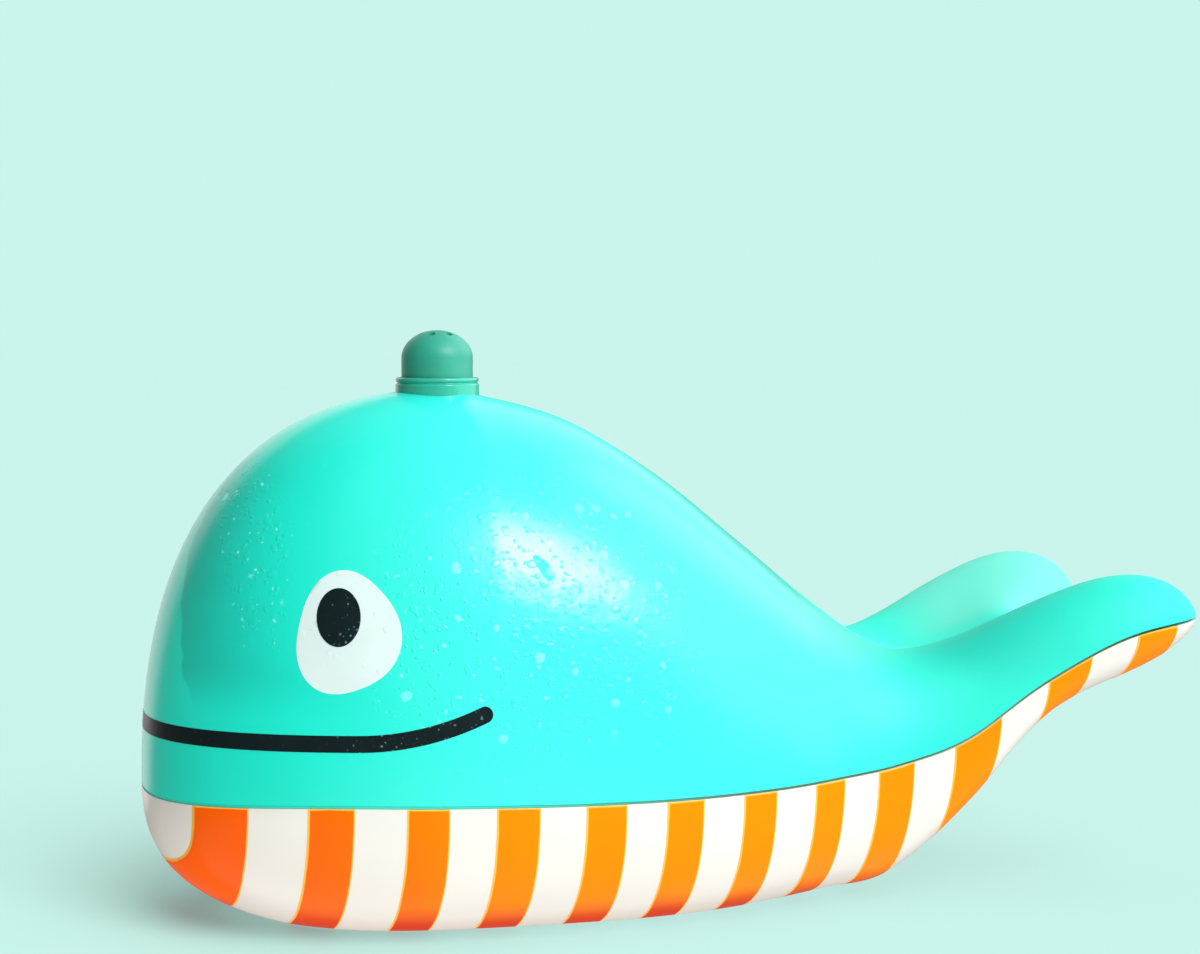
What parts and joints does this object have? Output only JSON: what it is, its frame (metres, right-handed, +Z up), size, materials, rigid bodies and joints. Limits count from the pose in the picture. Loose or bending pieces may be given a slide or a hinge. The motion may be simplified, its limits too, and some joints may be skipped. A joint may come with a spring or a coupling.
{
  "type": "whale bath toy",
  "caption": "Two-shell plastic whale bath toy with a striped belly, printed eyes and smile, and a press button at the blowhole that works a foam pump and a squeaker.",
  "frame": {"origin": "centre of the bounding box, on the floor that the flat belly rests on", "axes": "+X from the nose to the flukes, +Y to the whale's right side seen from behind, +Z up through the blowhole"},
  "size_m": [0.1981, 0.083, 0.1079],
  "materials": {
    "turquoise_shell": "glossy, wet",
    "cream_shell": "glossy",
    "gasket_rubber": "matt",
    "white_print": "gloss print",
    "black_print": "gloss print",
    "orange_print": "gloss print",
    "collar_plastic": "glossy",
    "button_plastic": "glossy",
    "white_plastic": "satin",
    "pump_plastic": "satin, natural",
    "seal_rubber": "matt",
    "plug_silicone": "satin silicone",
    "reed_film": "satin film",
    "steel": "bright stainless"
  },
  "bodies": {
    "hull": {"upper_shell": "turquoise_shell", "lower_shell": "cream_shell", "seam_gasket": "gasket_rubber", "eye_whites": "white_print", "eye_pupils": "black_print", "mouth_line": "black_print", "belly_stripes": "orange_print", "blowhole_collar": "collar_plastic", "return_spring": "steel", "pump_cap": "white_plastic", "deck_seal": "seal_rubber", "deck_screws": "steel", "pump_cylinder": "pump_plastic", "ball_cage": "white_plastic", "dip_tube": "pump_plastic", "squeaker_housing": "white_plastic", "squeaker_reed": "reed_film", "squeaker_cap": "white_plastic", "keel_weight": "steel", "hull_screws": "steel"},
    "button": {"pump_button": "button_plastic", "foam_cartridge": "white_plastic", "foam_screens": "steel", "piston_stem": "white_plastic", "air_piston": "white_plastic", "liquid_piston": "seal_rubber"},
    "ball": {"inlet_ball": "steel"},
    "plug": {"filler_plug": "plug_silicone"}
  },
  "joints": [
    {"name": "button_press", "type": "slide", "parent": "hull", "child": "button", "axis": [0, 0, -1], "range_m": [0, 0.007], "stiffness_N_per_m": 300, "springref_m": -0.004, "deforming": ["return_spring"]},
    {"name": "ball_lift", "type": "slide", "parent": "hull", "child": "ball", "axis": [0, 0, 1], "range_m": [0, 0.0012]},
    {"name": "plug_pull", "type": "slide", "parent": "hull", "child": "plug", "axis": [0, 0, -1], "range_m": [0, 0.012]}
  ]
}
